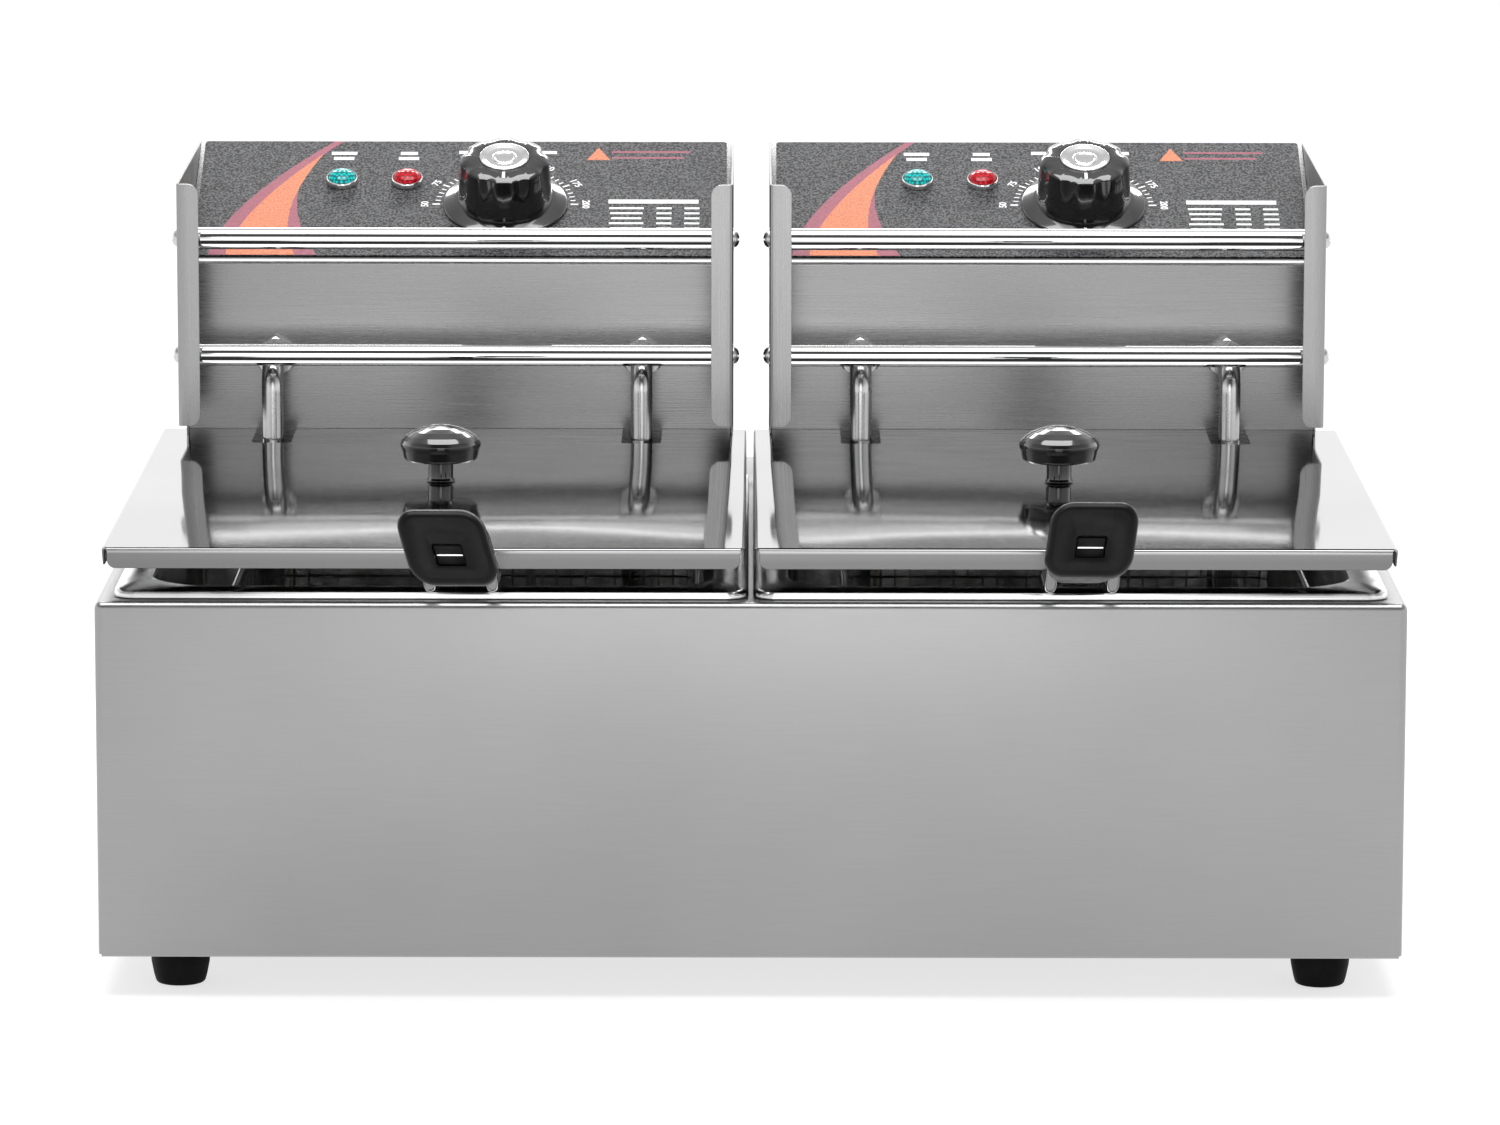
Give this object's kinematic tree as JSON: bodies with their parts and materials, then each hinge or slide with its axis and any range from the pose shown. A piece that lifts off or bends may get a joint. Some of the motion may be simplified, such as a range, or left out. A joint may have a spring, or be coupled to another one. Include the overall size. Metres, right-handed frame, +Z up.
{
  "type": "deep fryer",
  "caption": "Countertop electric deep fryer: side-by-side oil tanks, lift-out control heads, loose lids with knobs, wire baskets with black grips, and rods to hang them on.",
  "frame": {"origin": "on the table, under the middle of the bounding box", "axes": "+Z up; -Y is the front, where the basket grips point; +X to the right seen from the front"},
  "size_m": [0.55, 0.597, 0.3224],
  "materials": {
    "case_steel": "brushed, grain across the front",
    "tank_steel": "pressed and polished",
    "lid_steel": "nearly mirror bright",
    "head_steel": "fine brushed",
    "bright_rod": "polished round bar",
    "chrome_wire": "bright plated wire",
    "chrome_trim": "polished",
    "element_steel": "smooth tube",
    "zinc": "plated, dull",
    "label_film": "fine grained dark grey",
    "knob_black": "glossy black",
    "grip_black": "moulded, satin",
    "foot_rubber": "dull black",
    "lens_green": "clear green, faceted inside",
    "lens_red": "clear red, faceted inside",
    "insulator": "cream moulding"
  },
  "bodies": {
    "root": {"base_plate": "case_steel", "case_shell": "case_steel", "foot_front_left": "foot_rubber", "foot_front_right": "foot_rubber", "foot_rear_left": "foot_rubber", "foot_rear_right": "foot_rubber", "left_cable_gland": "grip_black", "left_control_label": "label_film", "left_element_nut_left": "element_steel", "left_element_nut_right": "element_steel", "left_hanging_rod_lower": "bright_rod", "left_hanging_rod_upper": "bright_rod", "left_head_front_panel": "head_steel", "left_head_left_side": "head_steel", "left_head_rear_cover": "head_steel", "left_head_right_side": "head_steel", "left_heat_light_bezel": "chrome_trim", "left_heat_light_lens": "lens_red", "left_heating_element": "element_steel", "left_high_limit_cutout": "insulator", "left_oil_tank": "tank_steel", "left_power_light_bezel": "chrome_trim", "left_power_light_lens": "lens_green", "left_terminal_block": "insulator", "left_thermostat": "zinc", "right_cable_gland": "grip_black", "right_control_label": "label_film", "right_element_nut_left": "element_steel", "right_element_nut_right": "element_steel", "right_hanging_rod_lower": "bright_rod", "right_hanging_rod_upper": "bright_rod", "right_head_front_panel": "head_steel", "right_head_left_side": "head_steel", "right_head_rear_cover": "head_steel", "right_head_right_side": "head_steel", "right_heat_light_bezel": "chrome_trim", "right_heat_light_lens": "lens_red", "right_heating_element": "element_steel", "right_high_limit_cutout": "insulator", "right_oil_tank": "tank_steel", "right_power_light_bezel": "chrome_trim", "right_power_light_lens": "lens_green", "right_terminal_block": "insulator", "right_thermostat": "zinc"},
    "left_basket_lifting": {"left_basket": "chrome_wire", "left_basket_grip": "grip_black", "left_basket_handle_wire": "chrome_wire"},
    "left_knob_turning": {"left_knob_cap": "chrome_trim", "left_thermostat_knob": "knob_black"},
    "left_lid_cover": {"left_lid": "lid_steel", "left_lid_knob": "knob_black", "left_lid_knob_screw": "zinc"},
    "right_basket_lifting": {"right_basket": "chrome_wire", "right_basket_grip": "grip_black", "right_basket_handle_wire": "chrome_wire"},
    "right_knob_turning": {"right_knob_cap": "chrome_trim", "right_thermostat_knob": "knob_black"},
    "right_lid_cover": {"right_lid": "lid_steel", "right_lid_knob": "knob_black", "right_lid_knob_screw": "zinc"}
  },
  "joints": [
    {"name": "left_thermostat_turn", "type": "hinge", "parent": "root", "child": "left_knob_turning", "pos_m": [-0.1147, 0.2285, 0.29029], "axis": [0, 0.4226, -0.9063], "range_deg": [0, 270]},
    {"name": "left_lid_take_off", "type": "hinge", "parent": "root", "child": "left_lid_cover", "pos_m": [-0.137, 0.21449, 0.642], "axis": [-1, 0, 0], "range_deg": [0, 45]},
    {"name": "left_basket_lift", "type": "slide", "parent": "root", "child": "left_basket_lifting", "axis": [0, 0, 1], "range_m": [0, 0.11]},
    {"name": "right_thermostat_turn", "type": "hinge", "parent": "root", "child": "right_knob_turning", "pos_m": [0.1547, 0.2285, 0.29029], "axis": [0, 0.4226, -0.9063], "range_deg": [0, 270]},
    {"name": "right_lid_take_off", "type": "hinge", "parent": "root", "child": "right_lid_cover", "pos_m": [0.136, 0.21449, 0.642], "axis": [-1, 0, 0], "range_deg": [0, 45]},
    {"name": "right_basket_lift", "type": "slide", "parent": "root", "child": "right_basket_lifting", "axis": [0, 0, 1], "range_m": [0, 0.11]}
  ],
  "couplings": [
    {"joint": "left_basket_lift", "follows": "left_lid_take_off", "m_per_rad": 0.14},
    {"joint": "right_basket_lift", "follows": "right_lid_take_off", "m_per_rad": 0.14}
  ]
}
